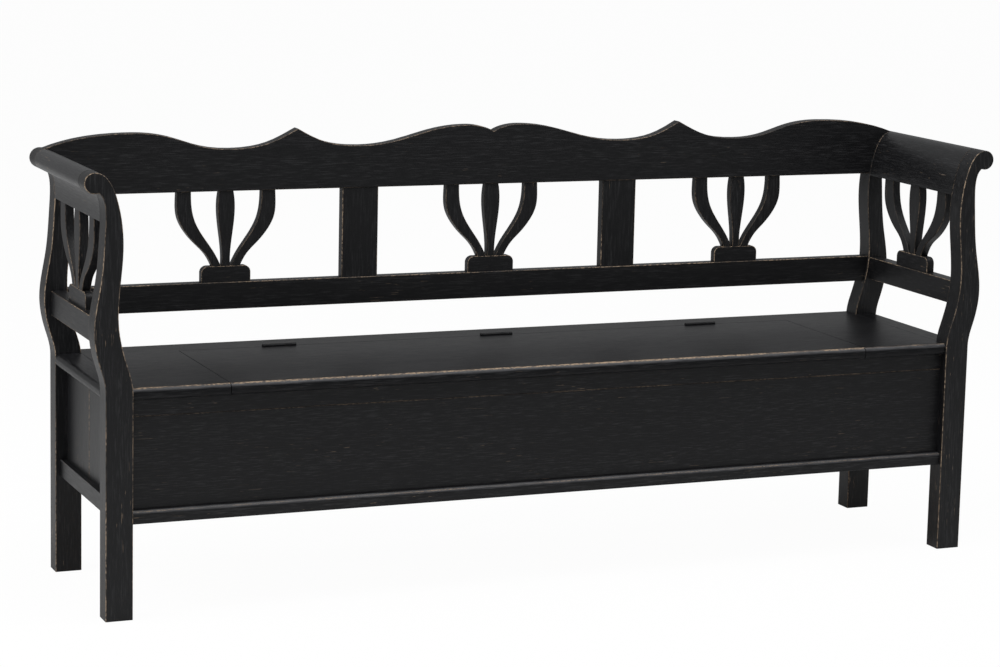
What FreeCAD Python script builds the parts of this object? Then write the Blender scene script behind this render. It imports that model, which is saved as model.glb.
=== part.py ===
"""Settle bench: a chest seat with a hinged lid between scroll-topped posts.

Everything is in millimetres.  X runs along the bench, +Y points to the back,
+Z points up and the floor is Z = 0.  The bench is centred on X = 0 and Y = 0.
Depths are counted from the front faces of the front posts, and an inset is
counted inwards from the outer face of the legs.
"""
import os

import FreeCAD
import Part

V = FreeCAD.Vector

# Overall sizes
LEG_SPAN = 1874.0          # outer face to outer face of the legs
DEPTH = 433.0              # front faces of the front posts to back faces of the back posts
SEAT_TOP = 446.0           # height of the seat surface
ARM_TOP = 856.0            # top of the scroll on each arm

# Posts
POST_WIDTH = 53.0          # leg width along the bench
POST_THICK = 44.0          # leg size front to back
STRAIGHT_BELOW_SEAT = 8.0  # the straight leg ends this far below the seat surface
BULGE_RISE = 113.0         # height of the outward bow above the seat surface
BULGE_OUT = 22.0           # how far the bow stands out beyond the leg
BULGE_INNER = 26.0         # inset of the inner edge at the bow
NECK_DROP = 119.0          # the waist of the post lies this far below the arm top
NECK_OUT = 1.5             # outer edge at the waist, outside the leg line
NECK_INNER = 34.0          # inset of the inner edge at the waist
SCROLL_RADIUS = 20.0
SCROLL_OUT = 21.0          # centre of the scroll, outside the leg line
POST_EASE = 1.6            # rounding of the post edges

# Seat boards
SEAT_THICK = 24.5
NOSING_SETBACK = 5.0       # seat edge behind the front faces of the posts
NOSING_RADIUS = 10.0
END_BOARD = 192.0          # fixed board at each end of the lid, along the bench
HINGE_STRIP = 72.0         # fixed board behind the lid
LID_GAP = 1.5              # joint between the lid and the fixed boards
LID_LIFT = 0.5             # air under the lid where it meets the front rail
SEAM_BEVEL = 1.0

# Chest
CHEST_BOTTOM = 183.5       # underside of the front and back lower rails
PANEL_SETBACK = 22.0       # front panel behind the front faces of the posts
PANEL_THICK = 16.0
TOP_RAIL_HEIGHT = 33.0
TOP_RAIL_THICK = 18.0
BOTTOM_RAIL_HEIGHT = 26.0
BOTTOM_RAIL_SETBACK = 8.0
MOULDING_RADIUS = 9.0
TONGUE = 8.0               # tongue depth of the panels
TONGUE_THICK = 6.0
BACK_SETBACK = 10.0        # back panel in front of the back faces of the posts
BACK_RAIL_HEIGHT = 35.0
BACK_RAIL_THICK = 30.0
FLOOR_THICK = 9.0
CLEAT = 18.0
FLOOR_GAP = 1.0

# Chest ends
SIDE_BOARD_INSET = 24.0
SIDE_BOARD_THICK = 16.0
SIDE_RAIL_BOTTOM = 197.0
SIDE_RAIL_HEIGHT = 34.0
SIDE_RAIL_INSET = 10.0
SIDE_RAIL_THICK = 30.0

# Arms
ARM_DEPTH = 97.0           # height of the arm board, scroll included
ARM_RAIL_BOTTOM = 525.0
ARM_RAIL_HEIGHT = 49.0
ARM_RAIL_OUT = 8.0         # outer face of the arm rail, outside the leg line
ARM_RAIL_THICK = 30.0

# Backrest
BACK_FACE = 7.0            # rails stand behind the front faces of the back posts
CREST_BOTTOM = 762.5
CREST_THICK = 26.0
LOWER_RAIL_BOTTOM = 520.5
LOWER_RAIL_HEIGHT = 55.5
LOWER_RAIL_THICK = 26.0
STILE_CENTRE = 294.5
STILE_WIDTH = 78.5
STILE_THICK = 22.0
STILE_SETBACK = 2.0
CREST_HUMP = (779.0, 883.5)
CREST_HOLLOW = (574.0, 848.0)
CREST_POINT = (432.0, 887.0)
CREST_INNER_HOLLOW = (295.5, 849.5)
CREST_MIDDLE_HUMP = (58.0, 888.0)
CREST_NOTCH_HEIGHT = 873.5

# Splats: a base block with three bars fanning out of it
SPLAT_CENTRE = 581.5
SPLAT_THICK = 18.0
SPLAT_SETBACK = 4.0
BASE_WIDTH = 104.0
BASE_HEIGHT = 33.0
BASE_ROUND = 14.0
BAR_SPREAD = 89.0          # outer bars from the middle bar, at the top
BAR_WIDTH = 29.0           # bars at the top
BAR_SWELL = 34.0           # middle bar at its widest
BAR_FOOT = 17.0            # bars where they meet the base block
BAR_FOOT_SPREAD = 20.0     # outer bars from the middle bar, at the base block
SIDE_SPLAT_STRETCH = 1.24  # the splats under the arms are this much wider
SIDE_SPLAT_INSET = 0.0     # outer face of the splats under the arms

# Joints between the wooden pieces
TENON_LENGTH = 20.0
TENON_THICK = 10.0
BAR_TENON = 10.0
TENON_CLEAR = 1.0          # wood left between joints that meet inside a post
FIT = 0.2                  # air around tenons and tongues
EASE = 1.5                 # rounding of rail and board edges

# Lid hinges
HINGE_PLACES = (-480.0, 0.0, 480.0)
HINGE_LENGTH = 70.0
KNUCKLE_RADIUS = 4.0
MOVING_KNUCKLE = 24.0
KNUCKLE_GAP = 0.4
LEAF_THICK = 2.2
LEAF_HEIGHT = 22.0
LEAF_GAP = 0.6             # between the two leaves when the lid is down
HINGE_RISE = 1.2           # hinge axis above the seat surface
PIN_RADIUS = 2.0
PIN_CLEARANCE = 0.05
PIN_HEAD_RADIUS = 3.0
PIN_HEAD_THICK = 1.0
SCREW_RADIUS = 1.7
SCREW_HEAD_RADIUS = 3.2
SCREW_LENGTH = 16.0
SCREW_SPACING = 25.0
SCREW_DROP = 13.5          # screws below the hinge axis

# Lid battens
BATTEN_CENTRE = 420.0
BATTEN_WIDTH = 45.0
BATTEN_THICK = 20.0
BATTEN_HOUSING = 4.0
BATTEN_FRONT = 56.0        # front end of the battens, depth from the front
BATTEN_END_GAP = 24.0      # from the back end of the battens to the lid edge

# Values that follow from the sizes above
HALF_SPAN = LEG_SPAN / 2
FRONT = -DEPTH / 2
BACK = DEPTH / 2
POST_INNER = HALF_SPAN - POST_WIDTH
RAIL_TENON = POST_WIDTH - SIDE_BOARD_INSET - SIDE_BOARD_THICK - TENON_CLEAR
ARM_BACK_TENON = BACK_FACE - TENON_CLEAR
FRONT_POST_BACK = FRONT + POST_THICK
BACK_POST_FRONT = BACK - POST_THICK
SEAT_UNDER = SEAT_TOP - SEAT_THICK
NOSE = FRONT + NOSING_SETBACK
LID_END = POST_INNER - END_BOARD
STRIP_FRONT = BACK - HINGE_STRIP
HINGE_Y = STRIP_FRONT - LID_GAP / 2
HINGE_Z = SEAT_TOP + HINGE_RISE
PANEL_FRONT = FRONT + PANEL_SETBACK
TOP_RAIL_BOTTOM = SEAT_UNDER - TOP_RAIL_HEIGHT
BOTTOM_RAIL_TOP = CHEST_BOTTOM + BOTTOM_RAIL_HEIGHT
FRONT_RAIL_BACK = PANEL_FRONT + TOP_RAIL_THICK
BACK_RAIL_BACK = BACK - BACK_SETBACK
BACK_RAIL_FRONT = BACK_RAIL_BACK - BACK_RAIL_THICK
BACK_RAIL_TOP = CHEST_BOTTOM + BACK_RAIL_HEIGHT
BACK_RAIL_LOW = SEAT_UNDER - BACK_RAIL_HEIGHT
SIDE_RAIL_TOP = SIDE_RAIL_BOTTOM + SIDE_RAIL_HEIGHT
ARM_BOTTOM = ARM_TOP - ARM_DEPTH
ARM_RAIL_TOP = ARM_RAIL_BOTTOM + ARM_RAIL_HEIGHT
BACKREST_FRONT = BACK_POST_FRONT + BACK_FACE
LOWER_RAIL_TOP = LOWER_RAIL_BOTTOM + LOWER_RAIL_HEIGHT
SPLAT_FRONT = BACKREST_FRONT + SPLAT_SETBACK


def box(x0, x1, y0, y1, z0, z1):
    """Solid block between the given planes."""
    return Part.makeBox(x1 - x0, y1 - y0, z1 - z0, V(x0, y0, z0))


def line(start, end):
    """Straight edge between two (x, z) points in the plane Y = 0."""
    return Part.makeLine(V(start[0], 0, start[1]), V(end[0], 0, end[1]))


def smooth(points, first=None, last=None):
    """Smooth edge through (x, z) points, with optional end directions."""
    curve = Part.BSplineCurve()
    spots = [V(x, 0, z) for x, z in points]
    if first and last:
        curve.interpolate(Points=spots, InitialTangent=V(first[0], 0, first[1]),
                          FinalTangent=V(last[0], 0, last[1]))
    else:
        curve.interpolate(Points=spots)
    return curve.toShape()


def bezier(points):
    """Bezier edge over (x, z) points."""
    curve = Part.BezierCurve()
    curve.setPoles([V(x, 0, z) for x, z in points])
    return curve.toShape()


def slab(edges, y0, y1):
    """Closed outline in the XZ plane made solid from y0 to y1."""
    face = Part.Face(Part.Wire(Part.__sortEdges__(edges)))
    solid = face.extrude(V(0, y1 - y0, 0))
    solid.translate(V(0, y0, 0))
    return solid


def loop(points):
    """Straight edges around a closed list of (x, z) points."""
    return [line(a, b) for a, b in zip(points, points[1:] + points[:1])]


def mirrored(shape):
    """The same piece for the other end of the bench."""
    return shape.mirror(V(0, 0, 0), V(1, 0, 0))


def along_side(shape, inset):
    """Turn a piece drawn facing -Y so that it faces -X under the left arm."""
    turned = shape.copy()
    turned.rotate(V(0, 0, 0), V(0, 0, 1), -90)
    turned.translate(V(-HALF_SPAN + inset, 0, 0))
    return turned


def eased(shape, radius, wanted):
    """Round the edges that the test picks, given each edge's bounding box."""
    edges = [e for e in shape.Edges if wanted(e.BoundBox)]
    return shape.makeFillet(radius, edges) if edges else shape


def flat(low, high):
    """True when an edge's extent in one direction is nil."""
    return high - low < 1e-6


def along_x(b):
    return flat(b.YMin, b.YMax) and flat(b.ZMin, b.ZMax)


def along_y(b):
    return flat(b.XMin, b.XMax) and flat(b.ZMin, b.ZMax)


def along_z(b):
    return flat(b.XMin, b.XMax) and flat(b.YMin, b.YMax)


def near(a, b):
    return abs(a - b) < 1e-4


# Posts

def post_outline():
    """Edges of the left post seen from the front: straight leg, bow, waist and scroll."""
    x = -HALF_SPAN
    leg_top = SEAT_TOP - STRAIGHT_BELOW_SEAT
    bulge = SEAT_TOP + BULGE_RISE
    neck = ARM_TOP - NECK_DROP
    centre = (x - SCROLL_OUT, ARM_TOP - SCROLL_RADIUS)
    lip = (centre[0] + 0.37 * SCROLL_RADIUS, centre[1] - 0.929 * SCROLL_RADIUS)
    crown = (centre[0], ARM_TOP)
    half_way = (leg_top + bulge) / 2 - 8
    outer = smooth([(x, leg_top), (x - 0.5 * BULGE_OUT, half_way), (x - BULGE_OUT, bulge - 4),
                    (x - NECK_OUT - 0.42 * (BULGE_OUT - NECK_OUT), (bulge + neck) / 2 - 6),
                    (x - NECK_OUT, neck), lip], (0, 100), (-60, 40))
    waist_in = x + POST_WIDTH - 0.42 * (POST_WIDTH - BULGE_INNER)
    inner = smooth([(x + POST_WIDTH, leg_top - 2), (waist_in, half_way), (x + BULGE_INNER, bulge + 2),
                    (x + NECK_INNER, neck - 22), (x + 0.68 * NECK_INNER, ARM_TOP - 54),
                    (x + 0.24 * NECK_INNER, ARM_TOP - 18), crown], (0, 100), (-60, 0))
    scroll = Part.Arc(V(crown[0], 0, crown[1]), V(centre[0] - SCROLL_RADIUS, 0, centre[1]),
                      V(lip[0], 0, lip[1])).toShape()
    return [line((x, 0), (x, leg_top)), outer, scroll, inner,
            line((x + POST_WIDTH, leg_top - 2), (x + POST_WIDTH, 0)), line((x + POST_WIDTH, 0), (x, 0))]


def post_blank(y0):
    """Left post before any joints are cut, with rounded edges."""
    blank = slab(post_outline(), y0, y0 + POST_THICK)
    faces = (y0, y0 + POST_THICK)

    def outline_edge(b):
        on_face = any(near(b.YMin, y) and near(b.YMax, y) for y in faces)
        return on_face and b.ZMax > 1
    return eased(blank, POST_EASE, outline_edge)


def grown(x0, x1, y0, y1, z0, z1):
    """Block with the fitting clearance added on every side."""
    return box(x0 - FIT, x1 + FIT, y0 - FIT, y1 + FIT, z0 - FIT, z1 + FIT)


def tenon_along_x(y_mid, z0, z1):
    """Extent of a rail's tenon in the inner face of a left post, short of the side boards."""
    start = -HALF_SPAN + POST_WIDTH
    return (start - RAIL_TENON, start + 1, y_mid - TENON_THICK / 2, y_mid + TENON_THICK / 2, z0, z1)


def front_rail_tenons():
    """Tenons of the two front rails and the housed end of the front panel."""
    mid = PANEL_FRONT + TOP_RAIL_THICK / 2
    top = tenon_along_x(mid, TOP_RAIL_BOTTOM + 3, SEAT_UNDER - 4)
    low = tenon_along_x(mid, CHEST_BOTTOM + 4, BOTTOM_RAIL_TOP - 4)
    return top, low


def back_rail_tenons():
    """Tenons of the two chest rails at the back."""
    mid = BACK_RAIL_BACK - BACK_RAIL_THICK / 2 + 4
    top = tenon_along_x(mid, BACK_RAIL_LOW + 4, SEAT_UNDER - 4)
    low = tenon_along_x(mid, CHEST_BOTTOM + 4, BACK_RAIL_TOP - 4)
    return top, low


def lower_rail_tenon():
    """Tenon of the backrest's lower rail, inside the bow of the back post."""
    mid = BACKREST_FRONT + LOWER_RAIL_THICK / 2
    root = -HALF_SPAN + BULGE_INNER
    return (root - TENON_LENGTH, root + 6, mid - TENON_THICK / 2, mid + TENON_THICK / 2,
            LOWER_RAIL_BOTTOM + 6, LOWER_RAIL_TOP - 6)


def arm_rail_span():
    """Insets of the two faces of the rail under the arm."""
    return -ARM_RAIL_OUT, ARM_RAIL_THICK - ARM_RAIL_OUT


def side_tenons(post_y0, towards_back):
    """Tenons of the two side rails and the arm board, in a left post."""
    face = post_y0 + POST_THICK if towards_back else post_y0
    y0, y1 = (face - TENON_LENGTH, face + 1) if towards_back else (face - 1, face + TENON_LENGTH)
    arm_length = TENON_LENGTH if towards_back else ARM_BACK_TENON
    a0, a1 = (face - arm_length, face + 1) if towards_back else (face - 1, face + arm_length)
    rows = []
    low_mid = -HALF_SPAN + SIDE_RAIL_INSET + SIDE_RAIL_THICK / 2
    rows.append((low_mid - 7, low_mid + 7, y0, y1, SIDE_RAIL_BOTTOM + 5,
                 SIDE_RAIL_TOP - TONGUE - TENON_CLEAR))
    arm_mid = -HALF_SPAN + sum(arm_rail_span()) / 2
    rows.append((arm_mid - 6, arm_mid + 6, a0, a1, ARM_RAIL_BOTTOM + 6, ARM_RAIL_TOP - 6))
    board_mid = -HALF_SPAN + (NECK_INNER - NECK_OUT) / 2 - 2
    rows.append((board_mid - 6, board_mid + 6, a0, a1, ARM_BOTTOM + 8, ARM_BOTTOM + 44))
    return rows


def side_board_groove(post_y0, towards_back):
    """Groove in a left post for the upright boards of the chest end."""
    face = post_y0 + POST_THICK if towards_back else post_y0
    y0, y1 = (face - TONGUE, face + 1) if towards_back else (face - 1, face + TONGUE)
    x0 = -HALF_SPAN + SIDE_BOARD_INSET
    return grown(x0, x0 + SIDE_BOARD_THICK, y0, y1, SIDE_RAIL_TOP - TONGUE, SEAT_UNDER)


def front_post():
    """Left front post with its mortises and grooves."""
    post = post_blank(FRONT)
    cuts = [grown(*t) for t in front_rail_tenons() + tuple(side_tenons(FRONT, True))]
    x = -POST_INNER
    cuts.append(grown(x - TONGUE, x + 1, PANEL_FRONT, PANEL_FRONT + PANEL_THICK,
                      BOTTOM_RAIL_TOP, TOP_RAIL_BOTTOM))
    cuts.append(side_board_groove(FRONT, True))
    return post.cut(Part.makeCompound(cuts))


def crest_slot():
    """Open slot in the top of the left back post that takes the crest rail."""
    x = -HALF_SPAN
    points = [(x + 6 - FIT, CREST_BOTTOM), (x + 6 - FIT, ARM_TOP - 28),
              (x - SCROLL_OUT - FIT, ARM_TOP - FIT), (x - SCROLL_OUT - FIT, ARM_TOP + 60),
              (x + 120, ARM_TOP + 60), (x + 120, CREST_BOTTOM)]
    return slab(loop(points), BACKREST_FRONT - FIT, BACKREST_FRONT + CREST_THICK + FIT)


def back_post():
    """Left back post with its mortises, grooves and the slot for the crest rail."""
    post = post_blank(BACK_POST_FRONT)
    tenons = back_rail_tenons() + (lower_rail_tenon(),) + tuple(side_tenons(BACK_POST_FRONT, False))
    cuts = [grown(*t) for t in tenons]
    x = -POST_INNER
    cuts.append(grown(x - TONGUE, x + 1, BACK_RAIL_BACK - PANEL_THICK, BACK_RAIL_BACK,
                      BACK_RAIL_TOP, BACK_RAIL_LOW))
    cuts.append(side_board_groove(BACK_POST_FRONT, False))
    cuts.append(crest_slot())
    return post.cut(Part.makeCompound(cuts))


# Arms

def arm_board():
    """Left arm board: the same section as the posts above the splat, with the scroll."""
    blank = slab(post_outline(), FRONT_POST_BACK, BACK_POST_FRONT)
    board = blank.common(box(-HALF_SPAN - 80, -HALF_SPAN + 80, FRONT, BACK, ARM_BOTTOM, ARM_TOP + 1))
    front = box(*side_tenons(FRONT, True)[2])
    back = box(*side_tenons(BACK_POST_FRONT, False)[2])
    board = board.fuse([front, back]).removeSplitter()
    return board.cut(side_bar_mortises(ARM_BOTTOM - 1, ARM_BOTTOM + BAR_TENON))


def arm_rail():
    """Rail under the left arm that carries the side splat."""
    inset0, inset1 = arm_rail_span()
    rail = box(-HALF_SPAN + inset0, -HALF_SPAN + inset1, FRONT_POST_BACK, BACK_POST_FRONT,
               ARM_RAIL_BOTTOM, ARM_RAIL_TOP)
    rail = eased(rail, EASE, along_y)
    rail = rail.fuse([box(*side_tenons(FRONT, True)[1]), box(*side_tenons(BACK_POST_FRONT, False)[1])])
    return rail.removeSplitter()


# Splats

def middle_bar(stretch, z0, z1):
    """Vase-shaped middle bar of a splat, drawn about X = 0."""
    top, swell, foot = (0.5 * stretch * w for w in (BAR_WIDTH, BAR_SWELL, BAR_FOOT))
    height = z1 - z0
    right = [(foot, z0), (foot, z0 + 0.17 * height), (swell, z0 + 0.66 * height), (top, z1)]
    left = [(-x, z) for x, z in right]
    edges = [smooth(right), smooth(left), line((-foot, z0), (foot, z0)), line((-top, z1), (top, z1))]
    body = splat_slab(edges)
    stub = 0.35 * BAR_FOOT * stretch
    tenons = [box(-stub, stub, *stub_depth(), z0 - BAR_TENON, z0 + 1),
              box(-stub, stub, *stub_depth(), z1 - 1, z1 + BAR_TENON)]
    return body.fuse(tenons).removeSplitter()


def outer_bar(stretch, z0, z1):
    """Left outer bar of a splat: it hangs straight, then sweeps in to the base block."""
    height = z1 - z0
    half = 0.5 * BAR_WIDTH
    foot = BAR_FOOT_SPREAD

    def at(x, rise):
        return -stretch * x, z0 + rise * height
    outside = [at(BAR_SPREAD + half, 1), at(BAR_SPREAD + half - 3.5, 0.63),
               at(BAR_SPREAD - 1.6 * half, 0.31), at(foot + 0.56 * BAR_FOOT, 0)]
    inside = [at(BAR_SPREAD - half, 1), at(BAR_SPREAD - 1.66 * half, 0.59),
              at(BAR_SPREAD - 3.85 * half, 0.26), at(foot - 0.53 * BAR_FOOT, 0)]
    edges = [smooth(outside, (-2, -60), (26, -60)), smooth(inside, (0, -60), (26, -60)),
             line(outside[0], inside[0]), line(outside[-1], inside[-1])]
    body = splat_slab(edges)
    stub = 0.3 * BAR_FOOT * stretch
    top, low = -stretch * BAR_SPREAD, -stretch * foot
    tenons = [box(low - stub, low + stub, *stub_depth(), z0 - BAR_TENON, z0 + 1),
              box(top - stub, top + stub, *stub_depth(), z1 - 1, z1 + BAR_TENON)]
    return body.fuse(tenons).removeSplitter()


def splat_slab(edges):
    """Splat outline made solid with softly rounded long edges."""
    body = slab(edges, 0, SPLAT_THICK)

    def long_edge(b):
        return (near(b.YMin, b.YMax)) and b.ZMax - b.ZMin > 20
    return eased(body, EASE, long_edge)


def stub_depth():
    """Front and back of the stub tenons on the splat pieces."""
    return 0.25 * SPLAT_THICK, 0.75 * SPLAT_THICK


def stub_mortises(stretch, z0, z1, at_top):
    """Holes for the three bar tenons, drawn about X = 0."""
    spread = BAR_SPREAD if at_top else BAR_FOOT_SPREAD
    cuts = []
    for place, share in ((-spread, 0.3), (0.0, 0.35), (spread, 0.3)):
        stub = share * BAR_FOOT * stretch
        cuts.append(grown(stretch * place - stub, stretch * place + stub, *stub_depth(), z0, z1))
    return Part.makeCompound(cuts)


def base_block(stretch, z0):
    """Base block of a splat with round shoulders, drawn about X = 0."""
    half = 0.5 * stretch * BASE_WIDTH
    z1 = z0 + BASE_HEIGHT
    block = box(-half, half, 0, SPLAT_THICK, z0, z1)
    block = eased(block, BASE_ROUND, lambda b: along_y(b) and near(b.ZMin, z1))

    def face_edge(b):
        return near(b.YMin, b.YMax) and b.ZMax > z0 + 1
    block = eased(block, EASE, face_edge)
    tongue = box(-0.3 * half, 0.3 * half, *stub_depth(), z0 - BAR_TENON, z0 + 1)
    block = block.fuse(tongue).removeSplitter()
    return block.cut(stub_mortises(stretch, z1 - BAR_TENON, z1 + 1, False))


def base_mortise(stretch, z):
    """Hole in the rail below for the tongue of the base block."""
    half = 0.15 * stretch * BASE_WIDTH
    return grown(-half, half, *stub_depth(), z - BAR_TENON, z + 1)


def placed_back(shape, centre):
    """Put a splat piece into the backrest."""
    piece = shape.copy()
    piece.translate(V(centre, SPLAT_FRONT, 0))
    return piece


def side_bar_mortises(z0, z1):
    """Holes in the left arm board for the three bars below it."""
    return along_side(stub_mortises(SIDE_SPLAT_STRETCH, z0, z1, True), SIDE_SPLAT_INSET)


def splat_pieces(stretch, z0, z1):
    """Base block and three bars of one splat, drawn about X = 0."""
    foot = z0 + BASE_HEIGHT
    left = outer_bar(stretch, foot, z1)
    return {
        "base": base_block(stretch, z0),
        "bar_middle": middle_bar(stretch, foot, z1),
        "bar_first": left,
        "bar_last": mirrored(left),
    }


# Backrest

def crest_outline():
    """Edges of the crest rail: humps, hollows, two points and the middle notch."""
    end_x = HALF_SPAN + SCROLL_OUT
    hump, hollow, point = CREST_HUMP, CREST_HOLLOW, CREST_POINT
    inner, middle = CREST_INNER_HOLLOW, CREST_MIDDLE_HUMP
    side = [
        [(end_x, ARM_TOP), (end_x - 46, ARM_TOP + 0.62 * (hump[1] - ARM_TOP)),
         (hump[0] + 0.45 * (end_x - hump[0]), hump[1]), hump],
        [hump, (hump[0] - 0.5 * (hump[0] - hollow[0]), hump[1]),
         (hollow[0] + 0.45 * (hump[0] - hollow[0]), hollow[1]), hollow],
        [hollow, (hollow[0] - 0.5 * (hollow[0] - point[0]), hollow[1]),
         (point[0] + 0.32 * (hollow[0] - point[0]), point[1] - 0.62 * (point[1] - hollow[1])), point],
        [point, (point[0] - 0.3 * (point[0] - inner[0]), point[1] - 0.62 * (point[1] - inner[1])),
         (inner[0] + 0.5 * (point[0] - inner[0]), inner[1]), inner],
        [inner, (inner[0] - 0.42 * (inner[0] - middle[0]), inner[1]),
         (middle[0] + 0.42 * (inner[0] - middle[0]), middle[1]), middle],
        [middle, (0.55 * middle[0], middle[1]), (0.18 * middle[0], 0.5 * (middle[1] + CREST_NOTCH_HEIGHT)),
         (0, CREST_NOTCH_HEIGHT)],
    ]
    edges = []
    for poles in side:
        edges.append(bezier(poles))
        edges.append(bezier([(-x, z) for x, z in reversed(poles)]))
    inner_end = HALF_SPAN - 6
    for sign in (-1, 1):
        edges.append(line((sign * end_x, ARM_TOP), (sign * inner_end, ARM_TOP - 28)))
        edges.append(line((sign * inner_end, ARM_TOP - 28), (sign * inner_end, CREST_BOTTOM)))
    edges.append(line((-inner_end, CREST_BOTTOM), (inner_end, CREST_BOTTOM)))
    return edges


def crest_rail():
    """Shaped top rail of the backrest."""
    rail = slab(crest_outline(), BACKREST_FRONT, BACKREST_FRONT + CREST_THICK)
    faces = (BACKREST_FRONT, BACKREST_FRONT + CREST_THICK)

    def long_edge(b):
        on_face = any(near(b.YMin, y) and near(b.YMax, y) for y in faces)
        return on_face and b.XMax - b.XMin > 40 and (b.ZMin > ARM_TOP - 2 or near(b.ZMax, CREST_BOTTOM))
    rail = eased(rail, EASE, long_edge)
    cuts = []
    for centre in (-SPLAT_CENTRE, 0.0, SPLAT_CENTRE):
        cuts.append(placed_back(stub_mortises(1.0, CREST_BOTTOM - 1, CREST_BOTTOM + BAR_TENON, True), centre))
    for sign in (-1, 1):
        cuts.append(grown(*stile_tenon(sign, CREST_BOTTOM - 1, CREST_BOTTOM + TENON_LENGTH)))
    return rail.cut(Part.makeCompound(cuts))


def stile_tenon(sign, z0, z1):
    """Extent of a tenon at the end of a backrest stile."""
    mid = BACKREST_FRONT + STILE_SETBACK + STILE_THICK / 2
    half = 0.3 * STILE_WIDTH
    x = sign * STILE_CENTRE
    return x - half, x + half, mid - TENON_THICK / 2, mid + TENON_THICK / 2, z0, z1


def lower_rail():
    """Lower rail of the backrest, scribed to the bow of both back posts."""
    reach = HALF_SPAN - 4
    rail = box(-reach, reach, BACKREST_FRONT, BACKREST_FRONT + LOWER_RAIL_THICK,
               LOWER_RAIL_BOTTOM, LOWER_RAIL_TOP)
    rail = eased(rail, EASE, along_x)
    post = slab(post_outline(), BACK_POST_FRONT, BACK)
    rail = rail.cut([post, mirrored(post)])
    tenon = box(*lower_rail_tenon())
    rail = rail.fuse([tenon, mirrored(tenon)]).removeSplitter()
    cuts = []
    for centre in (-SPLAT_CENTRE, 0.0, SPLAT_CENTRE):
        cuts.append(placed_back(base_mortise(1.0, LOWER_RAIL_TOP), centre))
    for sign in (-1, 1):
        cuts.append(grown(*stile_tenon(sign, LOWER_RAIL_TOP - TENON_LENGTH, LOWER_RAIL_TOP + 1)))
    return rail.cut(Part.makeCompound(cuts))


def stile(sign):
    """Flat upright between the rails of the backrest."""
    x = sign * STILE_CENTRE
    y0 = BACKREST_FRONT + STILE_SETBACK
    board = box(x - STILE_WIDTH / 2, x + STILE_WIDTH / 2, y0, y0 + STILE_THICK, LOWER_RAIL_TOP, CREST_BOTTOM)
    board = eased(board, EASE + 0.5, along_z)
    low = box(*stile_tenon(sign, LOWER_RAIL_TOP - TENON_LENGTH, LOWER_RAIL_TOP + 1))
    top = box(*stile_tenon(sign, CREST_BOTTOM - 1, CREST_BOTTOM + TENON_LENGTH))
    return board.fuse([low, top]).removeSplitter()


# Chest

def railed(body, tenon):
    """Rail between the posts with the same tenon at both ends."""
    left = box(*tenon)
    return body.fuse([left, mirrored(left)]).removeSplitter()


def front_top_rail():
    """Flush rail under the front edge of the lid."""
    rail = box(-POST_INNER, POST_INNER, PANEL_FRONT, FRONT_RAIL_BACK, TOP_RAIL_BOTTOM, SEAT_UNDER)
    rail = rail.makeChamfer(SEAM_BEVEL, [e for e in rail.Edges if along_x(e.BoundBox)
                                         and near(e.BoundBox.ZMin, TOP_RAIL_BOTTOM)
                                         and near(e.BoundBox.YMin, PANEL_FRONT)])
    rail = railed(rail, front_rail_tenons()[0])
    return rail.cut(panel_tongue(PANEL_FRONT, TOP_RAIL_BOTTOM - 1, TOP_RAIL_BOTTOM + TONGUE, FIT))


def panel_tongue(y0, z0, z1, air):
    """Long tongue on a panel edge, or its groove when air is given."""
    mid = y0 + PANEL_THICK / 2
    half = TONGUE_THICK / 2 + air
    reach = POST_INNER + air
    return box(-reach, reach, mid - half, mid + half, z0 - air, z1 + air)


def front_panel():
    """Wide front board of the chest, tongued into the rails and the posts."""
    reach = POST_INNER + TONGUE
    panel = box(-reach, reach, PANEL_FRONT, PANEL_FRONT + PANEL_THICK, BOTTOM_RAIL_TOP, TOP_RAIL_BOTTOM)
    panel = panel.makeChamfer(SEAM_BEVEL, [e for e in panel.Edges if along_x(e.BoundBox)
                                           and near(e.BoundBox.ZMin, TOP_RAIL_BOTTOM)
                                           and near(e.BoundBox.YMin, PANEL_FRONT)])
    low = panel_tongue(PANEL_FRONT, BOTTOM_RAIL_TOP - TONGUE, BOTTOM_RAIL_TOP + 1, 0)
    top = panel_tongue(PANEL_FRONT, TOP_RAIL_BOTTOM - 1, TOP_RAIL_BOTTOM + TONGUE, 0)
    return panel.fuse([low, top]).removeSplitter()


def front_bottom_rail():
    """Bottom rail with a round moulding along its upper front edge."""
    rail = box(-POST_INNER, POST_INNER, FRONT + BOTTOM_RAIL_SETBACK, FRONT_RAIL_BACK,
               CHEST_BOTTOM, BOTTOM_RAIL_TOP)
    face = FRONT + BOTTOM_RAIL_SETBACK
    rail = eased(rail, MOULDING_RADIUS, lambda b: along_x(b) and near(b.YMin, face)
                 and near(b.ZMin, BOTTOM_RAIL_TOP))
    rail = eased(rail, EASE, lambda b: along_x(b) and near(b.ZMin, CHEST_BOTTOM))
    rail = railed(rail, front_rail_tenons()[1])
    return rail.cut(panel_tongue(PANEL_FRONT, BOTTOM_RAIL_TOP - TONGUE, BOTTOM_RAIL_TOP + 1, FIT))


def back_top_rail():
    """Rail under the fixed strip behind the lid."""
    rail = box(-POST_INNER, POST_INNER, BACK_RAIL_FRONT, BACK_RAIL_BACK, BACK_RAIL_LOW, SEAT_UNDER)
    rail = eased(rail, EASE, lambda b: along_x(b) and near(b.ZMin, BACK_RAIL_LOW))
    rail = railed(rail, back_rail_tenons()[0])
    return rail.cut(panel_tongue(BACK_RAIL_BACK - PANEL_THICK, BACK_RAIL_LOW - 1, BACK_RAIL_LOW + TONGUE, FIT))


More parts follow.
